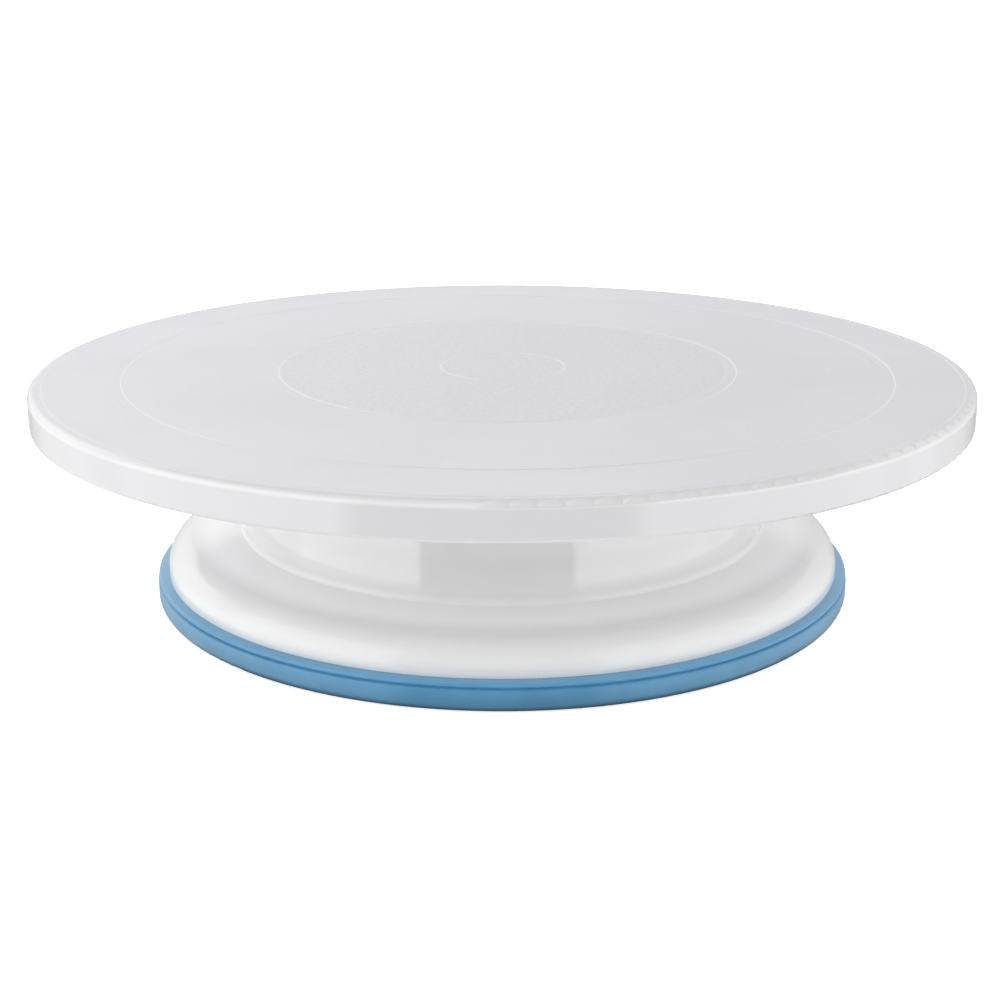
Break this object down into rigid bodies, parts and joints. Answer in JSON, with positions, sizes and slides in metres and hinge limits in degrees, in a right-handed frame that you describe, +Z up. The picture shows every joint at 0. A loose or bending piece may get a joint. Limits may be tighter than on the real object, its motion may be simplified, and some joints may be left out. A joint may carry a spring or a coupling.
{
  "type": "cake turntable",
  "caption": "Low revolving cake stand: a flat round plate on a ball bearing turns over a drum-shaped base with a soft blue foot ring.",
  "frame": {"origin": "on the turning axis, in the plane the foot ring stands on", "axes": "+Z up along the turning axis; X and Y lie in the standing plane"},
  "size_m": [0.28, 0.28, 0.068],
  "materials": {
    "plate_plastic": "satin top with a fine texture, glossy rim",
    "base_plastic": "gloss",
    "foot_rubber": "smooth soft rubber",
    "race_steel": "ground",
    "ball_steel": "polished",
    "spindle_steel": "turned",
    "fastener_steel": "bright zinc",
    "cage_plastic": "natural nylon",
    "bush_plastic": "acetal",
    "cap_plastic": "gloss"
  },
  "bodies": {
    "base": {"base_shell": "base_plastic", "anti_slip_ring": "foot_rubber", "lower_race": "race_steel", "upper_bush": "bush_plastic", "lower_bush": "bush_plastic", "dust_cap": "cap_plastic"},
    "plate": {"top_plate": "plate_plastic", "upper_race": "race_steel", "spindle": "spindle_steel", "retaining_washer": "fastener_steel", "spring_washer": "fastener_steel", "retaining_screw": "fastener_steel"},
    "cage": {"ball_cage": "cage_plastic", "ball_01": "ball_steel", "ball_02": "ball_steel", "ball_03": "ball_steel", "ball_04": "ball_steel", "ball_05": "ball_steel", "ball_06": "ball_steel", "ball_07": "ball_steel", "ball_08": "ball_steel", "ball_09": "ball_steel", "ball_10": "ball_steel", "ball_11": "ball_steel", "ball_12": "ball_steel", "ball_13": "ball_steel", "ball_14": "ball_steel", "ball_15": "ball_steel", "ball_16": "ball_steel", "ball_17": "ball_steel", "ball_18": "ball_steel", "ball_19": "ball_steel", "ball_20": "ball_steel"}
  },
  "joints": [
    {"name": "plate_spin", "type": "hinge", "parent": "base", "child": "plate", "pos_m": [0, 0, 0.0602], "axis": [0, 0, 1], "continuous": true},
    {"name": "cage_spin", "type": "hinge", "parent": "base", "child": "cage", "pos_m": [0, 0, 0.0602], "axis": [0, 0, 1], "continuous": true}
  ],
  "couplings": [
    {"joint": "cage_spin", "follows": "plate_spin", "ratio": 0.5}
  ]
}
